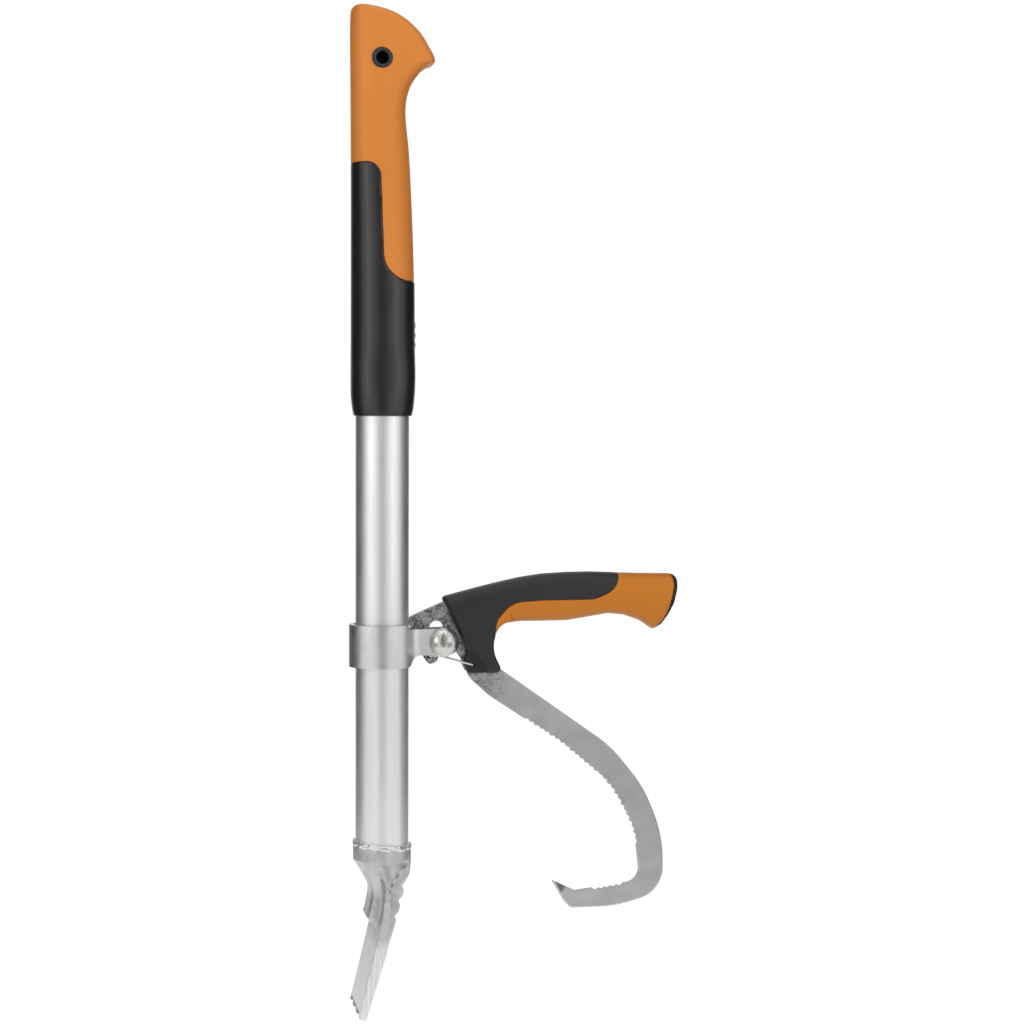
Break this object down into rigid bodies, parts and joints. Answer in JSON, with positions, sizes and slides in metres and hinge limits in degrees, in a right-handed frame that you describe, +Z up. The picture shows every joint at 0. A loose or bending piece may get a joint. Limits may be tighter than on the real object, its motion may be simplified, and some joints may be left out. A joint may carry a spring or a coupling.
{
  "type": "felling lever",
  "caption": "Tube lever with a moulded grip and a toothed forged foot, and a clamp that slides on the tube and carries a sprung log hook with its own handle.",
  "frame": {"origin": "middle of the hang hole in the grip, on its axis", "axes": "+Z up along the tube from the toothed foot to the grip, +X towards the hook, +Y along the hang hole and the hinge pin, away from the rivet's domed head"},
  "size_m": [0.2564, 0.0652, 0.7698],
  "materials": {
    "tube_steel": "satin drawn steel tube",
    "shoe_steel": "light grey forged steel, smooth with a ground toothed edge",
    "weld_steel": "bright rippled weld",
    "grip_plastic": "satin orange moulding",
    "grip_rubber": "matt black soft overmould",
    "eyelet_plastic": "dark grey satin",
    "pin_steel": "plain steel pin",
    "strap_steel": "satin pressed steel strap",
    "rivet_steel": "bright zinc-plated rivet",
    "spring_steel": "bright drawn spring wire",
    "hook_steel": "grey heat-treated steel, rough dark scale on the head",
    "handle_rubber": "matt black moulding",
    "handle_plastic": "satin orange moulding"
  },
  "bodies": {
    "lever": {"shaft_tube": "tube_steel", "felling_shoe": "shoe_steel", "shoe_weld_bead": "weld_steel", "grip_core": "grip_plastic", "soft_grip": "grip_rubber", "hang_eyelet_front": "eyelet_plastic", "hang_eyelet_back": "eyelet_plastic", "grip_cross_pin": "pin_steel"},
    "clamp_collar": {"collar_strap": "strap_steel", "pivot_rivet": "rivet_steel", "rivet_washer": "rivet_steel", "pivot_bush": "pin_steel", "spring_guide": "pin_steel", "thrust_washer": "pin_steel", "torsion_spring": "spring_steel"},
    "hook_arm": {"cant_hook": "hook_steel", "hook_handle_body": "handle_rubber", "hook_handle_inlay": "handle_plastic", "hook_handle_end_cap": "handle_rubber", "tang_pin_inner": "pin_steel", "tang_pin_outer": "pin_steel"}
  },
  "joints": [
    {"name": "collar_slide", "type": "slide", "parent": "lever", "child": "clamp_collar", "axis": [0, 0, 1], "range_m": [-0.13, 0.148]},
    {"name": "hook_hinge", "type": "hinge", "parent": "clamp_collar", "child": "hook_arm", "pos_m": [0.0489, 0, -0.4419], "axis": [0, 1, 0], "range_deg": [0, 30], "stiffness_Nm_per_rad": 0.86, "springref_deg": -45.84, "deforming": ["torsion_spring"]}
  ]
}
